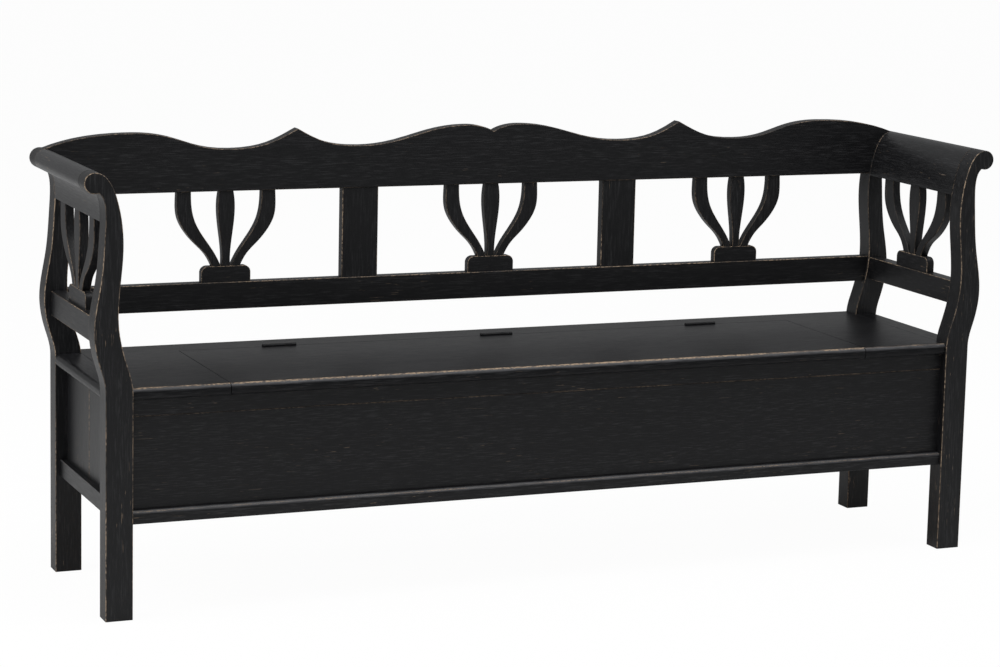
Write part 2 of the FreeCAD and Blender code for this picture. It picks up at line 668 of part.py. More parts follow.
def back_bottom_rail():
    """Rail under the back panel."""
    rail = box(-POST_INNER, POST_INNER, BACK_RAIL_FRONT, BACK_RAIL_BACK, CHEST_BOTTOM, BACK_RAIL_TOP)
    rail = eased(rail, EASE, along_x)
    rail = railed(rail, back_rail_tenons()[1])
    return rail.cut(panel_tongue(BACK_RAIL_BACK - PANEL_THICK, BACK_RAIL_TOP - TONGUE, BACK_RAIL_TOP + 1, FIT))


def back_panel():
    """Board that closes the back of the chest."""
    reach = POST_INNER + TONGUE
    y0 = BACK_RAIL_BACK - PANEL_THICK
    panel = box(-reach, reach, y0, BACK_RAIL_BACK, BACK_RAIL_TOP, BACK_RAIL_LOW)
    low = panel_tongue(y0, BACK_RAIL_TOP - TONGUE, BACK_RAIL_TOP + 1, 0)
    top = panel_tongue(y0, BACK_RAIL_LOW - 1, BACK_RAIL_LOW + TONGUE, 0)
    return panel.fuse([low, top]).removeSplitter()


def side_bottom_rail():
    """Rail under the boards of the left chest end."""
    x0 = -HALF_SPAN + SIDE_RAIL_INSET
    rail = box(x0, x0 + SIDE_RAIL_THICK, FRONT_POST_BACK, BACK_POST_FRONT, SIDE_RAIL_BOTTOM, SIDE_RAIL_TOP)
    rail = eased(rail, EASE, along_y)
    rail = rail.fuse([box(*side_tenons(FRONT, True)[0]), box(*side_tenons(BACK_POST_FRONT, False)[0])])
    rail = rail.removeSplitter()
    bx = -HALF_SPAN + SIDE_BOARD_INSET
    groove = grown(bx, bx + SIDE_BOARD_THICK, FRONT_POST_BACK, BACK_POST_FRONT,
                   SIDE_RAIL_TOP - TONGUE, SIDE_RAIL_TOP + 1)
    return rail.cut(groove)


def side_board(at_front):
    """One of the two upright boards that close the left chest end."""
    x0 = -HALF_SPAN + SIDE_BOARD_INSET
    x1 = x0 + SIDE_BOARD_THICK
    y0, y1 = (FRONT_POST_BACK - TONGUE, 0.0) if at_front else (0.0, BACK_POST_FRONT + TONGUE)
    board = box(x0, x1, y0, y1, SIDE_RAIL_TOP - TONGUE, SEAT_UNDER)
    board = board.makeChamfer(SEAM_BEVEL + 0.5, [e for e in board.Edges if along_z(e.BoundBox)
                                                 and near(e.BoundBox.YMin, 0)
                                                 and near(e.BoundBox.XMin, x0)])
    mid = (x0 + x1) / 2
    tongue = (mid - TONGUE_THICK / 2, mid + TONGUE_THICK / 2, -1.0, TONGUE, SIDE_RAIL_TOP - TONGUE, SEAT_UNDER)
    if at_front:
        return board.fuse(box(*tongue)).removeSplitter()
    x_low, x_high, y_low, y_high, z_low, z_high = tongue
    return board.cut(box(x_low - FIT, x_high + FIT, y_low, y_high + FIT, z_low - 1, z_high + 1))


def chest_floor():
    """Thin floor board with its corners cut out around the posts."""
    x1 = HALF_SPAN - SIDE_RAIL_INSET - SIDE_RAIL_THICK - FLOOR_GAP
    y0, y1 = FRONT_RAIL_BACK + FLOOR_GAP, BACK_RAIL_FRONT - FLOOR_GAP
    z0 = CHEST_BOTTOM + CLEAT + 2
    floor = box(-x1, x1, y0, y1, z0, z0 + FLOOR_THICK)
    corners = []
    for sign in (-1, 1):
        for low, high in ((FRONT, FRONT_POST_BACK + FLOOR_GAP), (BACK_POST_FRONT - FLOOR_GAP, BACK)):
            edge = POST_INNER - FLOOR_GAP
            x_low, x_high = sorted((sign * edge, sign * HALF_SPAN))
            corners.append(box(x_low, x_high, low, high, z0 - 1, z0 + FLOOR_THICK + 1))
    return floor.cut(Part.makeCompound(corners))


def floor_cleat(at_front):
    """Strip along the front or back rail that carries the floor."""
    reach = POST_INNER - FLOOR_GAP
    y0 = FRONT_RAIL_BACK if at_front else BACK_RAIL_FRONT - CLEAT
    return box(-reach, reach, y0, y0 + CLEAT, CHEST_BOTTOM + 2, CHEST_BOTTOM + CLEAT + 2)


# Seat

def nosed(board, y):
    """Round the front edge of a seat board."""
    return eased(board, NOSING_RADIUS, lambda b: along_x(b) and near(b.YMin, y) and near(b.YMax, y))


def end_board():
    """Fixed seat board between the left posts' inner faces and the lid."""
    board = box(-POST_INNER, -LID_END, NOSE, STRIP_FRONT, SEAT_UNDER, SEAT_TOP)
    board = nosed(board, NOSE)
    return board


def side_strip():
    """Seat strip between the left posts, rounded on its outer edge."""
    strip = box(-HALF_SPAN, -POST_INNER, FRONT_POST_BACK, BACK_POST_FRONT, SEAT_UNDER, SEAT_TOP)
    strip = eased(strip, NOSING_RADIUS, lambda b: along_y(b) and near(b.XMin, -HALF_SPAN))
    return strip.makeChamfer(SEAM_BEVEL, [e for e in strip.Edges if along_y(e.BoundBox)
                                          and near(e.BoundBox.ZMin, SEAT_TOP)
                                          and near(e.BoundBox.XMin, -POST_INNER)])


def hinge_strip():
    """Fixed seat board behind the lid, let in for the hinges."""
    strip = box(-POST_INNER, POST_INNER, STRIP_FRONT, BACK, SEAT_UNDER, SEAT_TOP)
    strip = eased(strip, EASE, lambda b: along_x(b) and near(b.YMin, BACK))
    return strip.cut(hinge_recess(1))


def seat_lid():
    """Hinged middle part of the seat."""
    reach = LID_END - LID_GAP
    lid = box(-reach, reach, NOSE, STRIP_FRONT - LID_GAP, SEAT_UNDER + LID_LIFT, SEAT_TOP)
    lid = nosed(lid, NOSE)
    cuts = [hinge_recess(-1)]
    for sign in (-1, 1):
        cuts.append(grown(*batten_extent(sign)))
    return lid.cut(Part.makeCompound(cuts))


def batten_extent(sign):
    """Extent of a batten under the lid, its housed part included."""
    x = sign * BATTEN_CENTRE
    top = SEAT_UNDER + LID_LIFT + BATTEN_HOUSING
    return (x - BATTEN_WIDTH / 2, x + BATTEN_WIDTH / 2, FRONT + BATTEN_FRONT,
            STRIP_FRONT - LID_GAP - BATTEN_END_GAP, top - BATTEN_THICK - BATTEN_HOUSING, top)


def lid_batten(sign):
    """Batten let into the underside of the lid."""
    x0, x1, y0, y1, z0, z1 = batten_extent(sign)
    batten = box(x0, x1, y0, y1, z0, z1 + FIT)
    return eased(batten, 3.0, lambda b: near(b.ZMin, z0) and near(b.ZMax, z0))


# Hinges

def x_rod(radius, x0, x1):
    """Round bar on the hinge axis."""
    return Part.makeCylinder(radius, x1 - x0, V(x0, HINGE_Y, HINGE_Z), V(1, 0, 0))


def hinge_recess(side):
    """Wood taken away for the hinges: side 1 is the strip, side -1 the lid."""
    cuts = []
    depth = LEAF_GAP / 2 + LEAF_THICK
    y0, y1 = sorted((HINGE_Y, HINGE_Y + side * depth))
    for place in HINGE_PLACES:
        half = HINGE_LENGTH / 2 + 0.3
        cuts.append(box(place - half, place + half, y0, y1, HINGE_Z - LEAF_HEIGHT - 0.3, HINGE_Z + 10))
        room = half + PIN_HEAD_THICK
        cuts.append(x_rod(KNUCKLE_RADIUS + 0.6, place - room, place + room))
        for screw_x in screw_places(place):
            cuts.append(screw_shape(screw_x, side, PIN_CLEARANCE, False))
    return Part.makeCompound(cuts)


def screw_places(place):
    return [place - SCREW_SPACING, place, place + SCREW_SPACING]


def screw_shape(x, side, air, slotted):
    """Countersunk screw through a hinge leaf, pointing into the seat board."""
    z = HINGE_Z - SCREW_DROP
    face = HINGE_Y + side * LEAF_GAP / 2
    way = V(0, side, 0)
    head = Part.makeCone(SCREW_HEAD_RADIUS + air, SCREW_RADIUS + air, LEAF_THICK, V(x, face, z), way)
    shank = Part.makeCylinder(SCREW_RADIUS + air, SCREW_LENGTH - 3 + air, V(x, face, z), way)
    tip_y = face + side * (SCREW_LENGTH - 3 + air)
    tip = Part.makeCone(SCREW_RADIUS + air, 0.3, 3, V(x, tip_y, z), way)
    screw = head.fuse([shank, tip])
    if not slotted:
        return screw
    low, high = sorted((face - side, face + side * 0.8))
    return screw.cut(box(x - SCREW_HEAD_RADIUS, x + SCREW_HEAD_RADIUS, low, high, z - 0.45, z + 0.45))


def hinge_leaf(place, side):
    """One leaf with its knuckles: side 1 is fixed to the strip, side -1 to the lid."""
    half = HINGE_LENGTH / 2
    mid = MOVING_KNUCKLE / 2
    y0, y1 = sorted((HINGE_Y + side * LEAF_GAP / 2, HINGE_Y + side * (LEAF_GAP / 2 + LEAF_THICK)))
    plate = box(place - half, place + half, y0, y1, HINGE_Z - LEAF_HEIGHT, HINGE_Z)
    ends = [(place - half, place - mid - KNUCKLE_GAP), (place + mid + KNUCKLE_GAP, place + half)]
    middle = [(place - mid, place + mid)]
    mine, other = (ends, middle) if side > 0 else (middle, ends)
    room = KNUCKLE_GAP
    plate = plate.cut([x_rod(KNUCKLE_RADIUS + room, a - room, b + room) for a, b in other])
    leaf = plate.fuse([x_rod(KNUCKLE_RADIUS, a, b) for a, b in mine]).removeSplitter()
    holes = [x_rod(PIN_RADIUS + PIN_CLEARANCE, place - half - 1, place + half + 1)]
    for x in screw_places(place):
        holes.append(screw_shape(x, side, PIN_CLEARANCE, False))
    return leaf.cut(holes)


def hinge_pin(place):
    """Pin through the knuckles with a small head at each end."""
    half = HINGE_LENGTH / 2
    rod = x_rod(PIN_RADIUS, place - half - 0.1, place + half + 0.1)
    heads = [x_rod(PIN_HEAD_RADIUS, place - half - 0.1 - PIN_HEAD_THICK, place - half - 0.1),
             x_rod(PIN_HEAD_RADIUS, place + half + 0.1, place + half + 0.1 + PIN_HEAD_THICK)]
    return rod.fuse(heads).removeSplitter()


def screw_group(side):
    """All screws of the fixed or of the moving leaves."""
    screws = []
    for place in HINGE_PLACES:
        for x in screw_places(place):
            screws.append(screw_shape(x, side, 0.0, True))
    return Part.makeCompound(screws)


# Assembly

def both_ends(pieces, name, shape):
    """Record a left-hand piece and its mirror image."""
    pieces[name + "_left"] = shape
    pieces[name + "_right"] = mirrored(shape)


def build():
    """Every piece of the bench by name."""
    pieces = {}
    both_ends(pieces, "post_front", front_post())
    both_ends(pieces, "post_back", back_post())
    both_ends(pieces, "arm_board", arm_board())
    side = splat_pieces(SIDE_SPLAT_STRETCH, ARM_RAIL_TOP, ARM_BOTTOM)
    rail = arm_rail().cut(along_side(base_mortise(SIDE_SPLAT_STRETCH, ARM_RAIL_TOP), SIDE_SPLAT_INSET))
    both_ends(pieces, "arm_rail", rail)
    side_names = {"base": "side_splat_base", "bar_middle": "side_bar_middle",
                  "bar_first": "side_bar_back", "bar_last": "side_bar_front"}
    for key, name in side_names.items():
        both_ends(pieces, name, along_side(side[key], SIDE_SPLAT_INSET))
    back = splat_pieces(1.0, LOWER_RAIL_TOP, CREST_BOTTOM)
    back_names = {"base": "splat_base", "bar_middle": "bar_middle", "bar_first": "bar_left",
                  "bar_last": "bar_right"}
    for where, centre in (("left", -SPLAT_CENTRE), ("centre", 0.0), ("right", SPLAT_CENTRE)):
        for key, name in back_names.items():
            pieces["back_" + where + "_" + name] = placed_back(back[key], centre)
    pieces["crest_rail"] = crest_rail()
    pieces["back_lower_rail"] = lower_rail()
    pieces["back_stile_left"] = stile(-1)
    pieces["back_stile_right"] = stile(1)
    pieces["seat_lid"] = seat_lid()
    pieces["seat_hinge_strip"] = hinge_strip()
    both_ends(pieces, "seat_end_board", end_board())
    both_ends(pieces, "seat_side_strip", side_strip())
    pieces["lid_batten_left"] = lid_batten(-1)
    pieces["lid_batten_right"] = lid_batten(1)
    pieces["front_top_rail"] = front_top_rail()
    pieces["front_panel"] = front_panel()
    pieces["front_bottom_rail"] = front_bottom_rail()
    pieces["back_top_rail"] = back_top_rail()
    pieces["back_panel"] = back_panel()
    pieces["back_bottom_rail"] = back_bottom_rail()
    both_ends(pieces, "side_bottom_rail", side_bottom_rail())
    both_ends(pieces, "side_board_front", side_board(True))
    both_ends(pieces, "side_board_back", side_board(False))
    pieces["chest_floor"] = chest_floor()
    pieces["floor_cleat_front"] = floor_cleat(True)
    pieces["floor_cleat_back"] = floor_cleat(False)
    pieces["hinge_leaves_fixed"] = Part.makeCompound([hinge_leaf(x, 1) for x in HINGE_PLACES])
    pieces["hinge_leaves_moving"] = Part.makeCompound([hinge_leaf(x, -1) for x in HINGE_PLACES])
    pieces["hinge_pins"] = Part.makeCompound([hinge_pin(x) for x in HINGE_PLACES])
    pieces["hinge_screws_fixed"] = screw_group(1)
    pieces["hinge_screws_moving"] = screw_group(-1)
    return pieces


def main():
    os.makedirs("parts", exist_ok=True)
    for name, shape in build().items():
        shape.exportStep("parts/" + name + ".step")
        box_of = shape.BoundBox
        print(name, len(shape.Solids), round(shape.Volume), shape.isValid(),
              [round(v, 1) for v in (box_of.XMin, box_of.XMax, box_of.YMin, box_of.YMax,
                                     box_of.ZMin, box_of.ZMax)])


main()
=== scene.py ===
"""Looks of the settle bench: painted wood, bare wood inside, steel screws, light and camera."""
import logging
import math
from dataclasses import astuple, dataclass
from enum import Enum
from typing import ClassVar, Union

import bpy
from mathutils import Matrix, Vector

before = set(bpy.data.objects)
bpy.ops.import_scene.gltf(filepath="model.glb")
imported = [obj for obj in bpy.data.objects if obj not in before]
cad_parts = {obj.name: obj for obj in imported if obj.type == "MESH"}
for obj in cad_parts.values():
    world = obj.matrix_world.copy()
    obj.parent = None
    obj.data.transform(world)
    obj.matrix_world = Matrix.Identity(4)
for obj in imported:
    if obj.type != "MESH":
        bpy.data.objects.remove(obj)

LOG = logging.getLogger("settle_bench")

Socket = bpy.types.NodeSocket
Value = Union[Socket, float]
Colour = tuple[float, float, float]
Place = tuple[float, float, float]

# Each piece's pattern is shifted by its own share of SHIFT_RANGE metres.
SHIFT_NAME = "grain_shift"
SHIFT_STEP = 0.61803
SHIFT_RANGE = 7.0


class Axis(Enum):
    """Axis of the bench that a piece's grain or thickness follows."""

    X = 0
    Y = 1
    Z = 2


class Edge(Enum):
    """Which rounded edges of a piece are rubbed through."""

    BLOCK = "all edges of a squared block"
    BOARD_X = "outline of a board that lies across the bench"
    BOARD_Y = "outline of a board that lies along the bench"
    NOSING = "top of a rounded front edge, and the ends"
    MOULDING = "a line along a rounded moulding"
    NONE = "no edge"


@dataclass(frozen=True)
class Pattern:
    """Noise drawn out along the grain, with its scales per metre."""

    along: float
    across: float
    detail: float
    rough: float = 0.5

    def scales(self, grain: Axis) -> tuple[float, ...]:
        """Scales of the pattern in X, Y and Z for a piece's grain."""
        return tuple(self.along if axis is grain else self.across for axis in Axis)


@dataclass(frozen=True)
class Ramp:
    """Smooth map of one range of numbers onto another."""

    low: float
    high: float
    out_low: float = 0.0
    out_high: float = 1.0

    def around(self, middle: float) -> "Ramp":
        """The same ramp with its results counted from a middle value."""
        return Ramp(self.low, self.high, middle + self.out_low, middle + self.out_high)


@dataclass(frozen=True)
class Window:
    """Range of a surface direction that counts, fading at both ends."""

    rise: tuple[float, float]
    fall: tuple[float, float]


@dataclass(frozen=True)
class Relief:
    """How strongly and how deep, in metres, a pattern stands out of the surface."""

    strength: float
    depth: float


OUTLINE = Window((0.06, 0.22), (0.95, 0.995))
MOULDING_LINE = Window((0.56, 0.64), (0.74, 0.84))
NOSING_TOP = Window((0.72, 0.86), (0.975, 0.999))
# Upward-facing range of a nosing or moulding round that gets a painted highlight.
NOSING_HIGHLIGHT = Window((0.12, 0.62), (0.90, 0.995))
BLOCK_EDGES = Ramp(0.94, 0.992, 1.0, 0.0)


class Nodes:
    """Shader nodes of one material or world, added and joined with short calls."""

    def __init__(self, tree: bpy.types.NodeTree) -> None:
        """Start on an empty tree."""
        self.tree = tree
        tree.nodes.clear()

    def add(self, kind: str, **settings: object) -> bpy.types.Node:
        """Add a node.

        Args:
            kind: Type of the node.
            settings: Properties to set on it.

        Returns:
            The new node.
        """
        node = self.tree.nodes.new(kind)
        for name, value in settings.items():
            setattr(node, name, value)
        return node

    def join(self, source: Socket, target: Socket) -> None:
        """Link an output socket to an input socket."""
        self.tree.links.new(source, target)

    def math(self, operation: str, *values: Value) -> Socket:
        """Combine numbers or sockets.

        Args:
            operation: Name of the operation.
            values: One or two sockets or numbers, as the operation takes.

        Returns:
            The result's socket.
        """
        node = self.add("ShaderNodeMath", operation=operation)
        for slot, value in zip(node.inputs, values):
            if isinstance(value, float):
                slot.default_value = value
            else:
                self.join(value, slot)
        return node.outputs[0]

    def ramp(self, value: Socket, ramp: Ramp) -> Socket:
        """Map a range smoothly onto another.

        Args:
            value: Socket to map.
            ramp: The two ranges.

        Returns:
            The result's socket.
        """
        node = self.add("ShaderNodeMapRange", interpolation_type="SMOOTHSTEP")
        self.join(value, node.inputs["Value"])
        for name, number in zip(("From Min", "From Max", "To Min", "To Max"), astuple(ramp)):
            node.inputs[name].default_value = number
        return node.outputs["Result"]

    def window(self, value: Socket, window: Window) -> Socket:
        """One inside a window, fading to zero at both its ends."""
        return self.math("MULTIPLY", self.ramp(value, Ramp(*window.rise)),
                         self.ramp(value, Ramp(*window.fall, 1.0, 0.0)))

    def mix(self, share: Socket, first: Socket | Colour, second: Socket | Colour) -> Socket:
        """Blend two colours.

        Args:
            share: Share of the second colour.
            first: Socket or colour.
            second: Socket or colour.

        Returns:
            The blended colour's socket.
        """
        node = self.add("ShaderNodeMix", data_type="RGBA")
        self.join(share, node.inputs["Factor"])
        for name, value in (("A", first), ("B", second)):
            slot = next(i for i in node.inputs if i.name == name and i.type == "RGBA")
            if isinstance(value, tuple):
                slot.default_value = (*value, 1.0)
            else:
                self.join(value, slot)
        return next(o for o in node.outputs if o.type == "RGBA")

    def facing(self) -> list[Socket]:
        """Find the direction that the surface faces, in the piece's own axes.

        Returns:
            Its parts along X, Y and Z.
        """
        place = self.add("ShaderNodeTexCoord")
        split = self.add("ShaderNodeSeparateXYZ")
        self.join(place.outputs["Normal"], split.inputs[0])
        return list(split.outputs)

    def edges(self, edge: Edge) -> Socket:
        """Find a piece's rounded edges by the direction its surface faces.

        Args:
            edge: Which edges count.

        Returns:
            The socket that is one on those edges and zero elsewhere.
        """
        parts = self.facing()
        upward = parts[Axis.Z.value]
        if edge is Edge.MOULDING:
            return self.window(upward, MOULDING_LINE)
        along_x, along_y, along_z = (self.math("ABSOLUTE", part) for part in parts)
        if edge is Edge.BOARD_Y:
            return self.window(along_y, OUTLINE)
        if edge is Edge.BOARD_X:
            return self.window(along_x, OUTLINE)
        if edge is Edge.NOSING:
            return self.math("MAXIMUM", self.window(upward, NOSING_TOP),
                             self.window(along_x, OUTLINE))
        largest = self.math("MAXIMUM", self.math("MAXIMUM", along_x, along_y), along_z)
        return self.ramp(largest, BLOCK_EDGES)

    def noise(self, grain: Axis, pattern: Pattern) -> Socket:
        """Draw a pattern along the grain, shifted by each piece's own amount.

        Args:
            grain: The axis that the grain follows.
            pattern: The pattern.

        Returns:
            The noise's socket.
        """
        place = self.add("ShaderNodeTexCoord")
        own = self.add("ShaderNodeAttribute", attribute_type="OBJECT", attribute_name=SHIFT_NAME)
        shifted = self.add("ShaderNodeVectorMath", operation="ADD")
        self.join(place.outputs["Object"], shifted.inputs[0])
        self.join(own.outputs["Fac"], shifted.inputs[1])
        mapped = self.add("ShaderNodeMapping")
        mapped.inputs["Scale"].default_value = pattern.scales(grain)
        self.join(shifted.outputs[0], mapped.inputs["Vector"])
        node = self.add("ShaderNodeTexNoise")
        node.inputs["Scale"].default_value = 1.0
        node.inputs["Detail"].default_value = pattern.detail
        node.inputs["Roughness"].default_value = pattern.rough
        self.join(mapped.outputs[0], node.inputs["Vector"])
        return node.outputs["Fac"]

    def surface(self, colour: Socket, gloss: Socket, height: Socket, relief: Relief,
                constants: dict[str, float]) -> None:
        """End a material with one shaded surface and a fine relief.

        Args:
            colour: The surface's colour.
            gloss: Its roughness.
            height: The pattern that stands out of it.
            relief: How much the pattern stands out.
            constants: Plain numbers for the shader's other inputs.
        """
        bump = self.add("ShaderNodeBump")
        bump.inputs["Strength"].default_value = relief.strength
        bump.inputs["Distance"].default_value = relief.depth
        self.join(height, bump.inputs["Height"])
        shader = self.add("ShaderNodeBsdfPrincipled")
        for name, number in constants.items():
            shader.inputs[name].default_value = number
        self.join(colour, shader.inputs["Base Color"])
        self.join(gloss, shader.inputs["Roughness"])
        self.join(bump.outputs["Normal"], shader.inputs["Normal"])
        self.join(shader.outputs[0], self.add("ShaderNodeOutputMaterial").inputs["Surface"])

    def blend(self, share: Socket, first: bpy.types.Node, second: bpy.types.Node,
              output: str) -> None:
        """End a material or the world with a blend of two shaders.

        Args:
            share: Share of the second shader.
            first: The first shader.
            second: The second shader.
            output: Type of the output node.
        """
        node = self.add("ShaderNodeMixShader")
        for source, slot in zip((share, first.outputs[0], second.outputs[0]), node.inputs):
            self.join(source, slot)
        self.join(node.outputs[0], self.add(output).inputs["Surface"])


def blank(name: str) -> tuple[bpy.types.Material, Nodes]:
    """Make a material with no nodes yet.

    Args:
        name: Name of the material.

    Returns:
        The material and its nodes.
    """
    made = bpy.data.materials.new(name)
    made.use_nodes = True
    return made, Nodes(made.node_tree)


@dataclass(frozen=True)
class BlackPaint:
    """Thin near-black paint on wood, rubbed through along the edges."""

    grain: Axis
    edge: Edge = Edge.BLOCK
    colour: Colour = (0.0050, 0.0051, 0.0058)
    streak: Colour = (0.0250, 0.0250, 0.0265)
    # Painted highlight: a lighter grey on the upward-facing rounds of nosings and mouldings.
    painted_highlight: Colour = (0.0850, 0.0850, 0.0900)
    wood: Colour = (0.300, 0.222, 0.155)
    roughness: float = 0.42
    specular: float = 0.20
    wear: float = 1.0
    flecks: float = 1.0

    fine_grain: ClassVar[Pattern] = Pattern(26.0, 460.0, 4.0, 0.70)
    broad_grain: ClassVar[Pattern] = Pattern(2.2, 46.0, 3.0)
    scratches: ClassVar[Pattern] = Pattern(26.0, 560.0, 2.0, 0.6)
    scratched_areas: ClassVar[Pattern] = Pattern(5.0, 13.0, 1.0)
    worn_runs: ClassVar[Pattern] = Pattern(7.0, 14.0, 2.0, 0.6)
    worn_grit: ClassVar[Pattern] = Pattern(170.0, 420.0, 2.0)
    streak_range: ClassVar[Ramp] = Ramp(0.47, 0.70)
    broad_range: ClassVar[Ramp] = Ramp(0.25, 0.65, 0.30)
    scratch_range: ClassVar[Ramp] = Ramp(0.68, 0.74)
    area_range: ClassVar[Ramp] = Ramp(0.50, 0.62)
    # How strongly the painted highlight shows along the grain.
    highlight_range: ClassVar[Ramp] = Ramp(0.30, 0.65, 0.30, 0.85)
    run_range: ClassVar[Ramp] = Ramp(0.36, 0.56, 0.15)
    grit_range: ClassVar[Ramp] = Ramp(0.40, 0.60, 0.12)
    fleck_strength: ClassVar[float] = 0.75
    worn_roughness: ClassVar[float] = 0.3
    gloss_range: ClassVar[Ramp] = Ramp(0.30, 0.75, -0.05, 0.09)
    relief: ClassVar[Relief] = Relief(0.45, 0.0005)

    def material(self) -> bpy.types.Material:
        """Build the material.

        Returns:
            The painted material for this grain direction and these edges.
        """
        made, nodes = blank(f"black_paint_{self.grain.name.lower()}_{self.edge.name.lower()}")
        fine = nodes.noise(self.grain, self.fine_grain)
        colour = nodes.mix(self._flecked(nodes), self._streaked(nodes, fine), self.wood)
        gloss = nodes.ramp(fine, self.gloss_range.around(self.roughness))
        # Painted highlight: lighter colour on the upward-facing rounds of nosings and mouldings.
        if self.edge in (Edge.NOSING, Edge.MOULDING):
            colour = nodes.mix(self._highlight_share(nodes, fine), colour, self.painted_highlight)
        if self.edge is not Edge.NONE:
            worn = self._worn(nodes)
            colour = nodes.mix(worn, colour, self.wood)
            gloss = nodes.math("ADD", gloss, nodes.math("MULTIPLY", worn, self.worn_roughness))
        nodes.surface(colour, gloss, fine, self.relief, {"Specular IOR Level": self.specular})
        return made

    def _streaked(self, nodes: Nodes, fine: Socket) -> Socket:
        """Colour the paint, with lighter streaks along the grain.

        Args:
            nodes: The material's nodes.
            fine: The fine grain.

        Returns:
            The paint's colour.
        """
        broad = nodes.ramp(nodes.noise(self.grain, self.broad_grain), self.broad_range)
        share = nodes.math("MULTIPLY", nodes.ramp(fine, self.streak_range), broad)
        return nodes.mix(share, self.colour, self.streak)

    def _flecked(self, nodes: Nodes) -> Socket:
        """Find the small scratches down to the wood on the faces.

        Args:
            nodes: The material's nodes.

        Returns:
            The share of bare wood.
        """
        scratch = nodes.ramp(nodes.noise(self.grain, self.scratches), self.scratch_range)
        where = nodes.ramp(nodes.noise(self.grain, self.scratched_areas), self.area_range)
        return nodes.math("MULTIPLY", nodes.math("MULTIPLY", scratch, where),
                          self.fleck_strength * self.flecks)

    def _highlight_share(self, nodes: Nodes, fine: Socket) -> Socket:
        """Find where the upward-facing part of a rounded front edge gets a painted highlight.

        Args:
            nodes: The material's nodes.
            fine: The fine grain.

        Returns:
            The share of painted highlight.
        """
        # Upward-facing part of the round, where the highlight is painted.
        rounded = nodes.window(nodes.facing()[Axis.Z.value], NOSING_HIGHLIGHT)
        return nodes.math("MULTIPLY", rounded, nodes.ramp(fine, self.highlight_range))

    def _worn(self, nodes: Nodes) -> Socket:
        """Find where the edges are rubbed through, in short broken runs.

        Args:
            nodes: The material's nodes.

        Returns:
            The share of bare wood.
        """
        run = nodes.ramp(nodes.noise(self.grain, self.worn_runs), self.run_range)
        grit = nodes.ramp(nodes.noise(self.grain, self.worn_grit), self.grit_range)
        share = nodes.math("MULTIPLY", nodes.math("MULTIPLY", run, grit), self.wear)
        return nodes.math("MULTIPLY", nodes.edges(self.edge), share)


@dataclass(frozen=True)
class BareWood:
    """Sawn softwood of the pieces inside the chest."""

    grain: Axis
    light: Colour = (0.560, 0.395, 0.225)
    dark: Colour = (0.350, 0.205, 0.100)
    roughness: float = 0.62

    growth_rings: ClassVar[Pattern] = Pattern(1.3, 60.0, 3.0)
    fibres: ClassVar[Pattern] = Pattern(9.0, 700.0, 3.0)
    ring_range: ClassVar[Ramp] = Ramp(0.38, 0.64, 0.0, 0.75)
    fibre_range: ClassVar[Ramp] = Ramp(0.35, 0.7, 0.0, 0.25)
    gloss_range: ClassVar[Ramp] = Ramp(0.3, 0.7, -0.06, 0.1)
    relief: ClassVar[Relief] = Relief(0.4, 0.0004)

    def material(self) -> bpy.types.Material:
        """Build the material.

        Returns:
            The bare wood for this grain direction.
        """
        made, nodes = blank(f"bare_wood_{self.grain.name.lower()}")
        rings = nodes.noise(self.grain, self.growth_rings)
        fibre = nodes.noise(self.grain, self.fibres)
        share = nodes.math("ADD", nodes.ramp(rings, self.ring_range),
                           nodes.ramp(fibre, self.fibre_range))
        gloss = nodes.ramp(fibre, self.gloss_range.around(self.roughness))
        nodes.surface(nodes.mix(share, self.light, self.dark), gloss, fibre, self.relief, {})
        return made


@dataclass(frozen=True)
class Steel:
    """Plain rolled steel with fine brushing along the bench."""

    name: str
    light: Colour = (0.42, 0.42, 0.43)
    dark: Colour = (0.26, 0.26, 0.27)
    roughness: float = 0.28

    brushing: ClassVar[Pattern] = Pattern(60.0, 2600.0, 2.0)
    dulled_areas: ClassVar[Pattern] = Pattern(70.0, 90.0, 3.0)
    dulled_range: ClassVar[Ramp] = Ramp(0.4, 0.65)
    gloss_range: ClassVar[Ramp] = Ramp(0.35, 0.7, -0.06, 0.16)
    relief: ClassVar[Relief] = Relief(0.15, 0.0001)

    def material(self) -> bpy.types.Material:
        """Build the material.

        Returns:
            The steel.
        """
        made, nodes = blank(self.name)
        brushed = nodes.noise(Axis.X, self.brushing)
        dulled = nodes.noise(Axis.X, self.dulled_areas)
        colour = nodes.mix(nodes.ramp(dulled, self.dulled_range), self.light, self.dark)
        gloss = nodes.ramp(dulled, self.gloss_range.around(self.roughness))
        nodes.surface(colour, gloss, brushed, self.relief, {"Metallic": 1.0})
        return made


Finish = Union[BlackPaint, BareWood, Steel]


class Finishes:
    """Every material of the bench, made once and shared."""

    def __init__(self) -> None:
        """Start with no material made."""
        self._made: dict[Finish, bpy.types.Material] = {}

    def get(self, finish: Finish) -> bpy.types.Material:
        """Find or build the material of a finish.

        Args:
            finish: What the piece wears.

        Returns:
            Its material.
        """
        if finish not in self._made:
            self._made[finish] = finish.material()
        return self._made[finish]


@dataclass(frozen=True)
class Dress:
    """What one CAD node wears."""

    node: str
    finish: Finish


@dataclass
class SubAssembly:
    """Part of the bench whose pieces are finished together."""

    finishes: Finishes
    name: ClassVar[str] = "sub-assembly"

    def dresses(self) -> list[Dress]:
        """List what each node wears."""
        raise NotImplementedError

    def build(self) -> int:
        """Finish every piece and report it.

        Returns:
            The number of pieces.
        """
        rows = self.dresses()
        order = sorted(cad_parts)
        for row in rows:
            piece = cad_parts[row.node]
            piece.data.materials.clear()
            piece.data.materials.append(self.finishes.get(row.finish))
            piece[SHIFT_NAME] = (order.index(row.node) * SHIFT_STEP) % 1.0 * SHIFT_RANGE
            LOG.info("%s: %s wears %s", self.name, row.node, piece.data.materials[0].name)
        return len(rows)


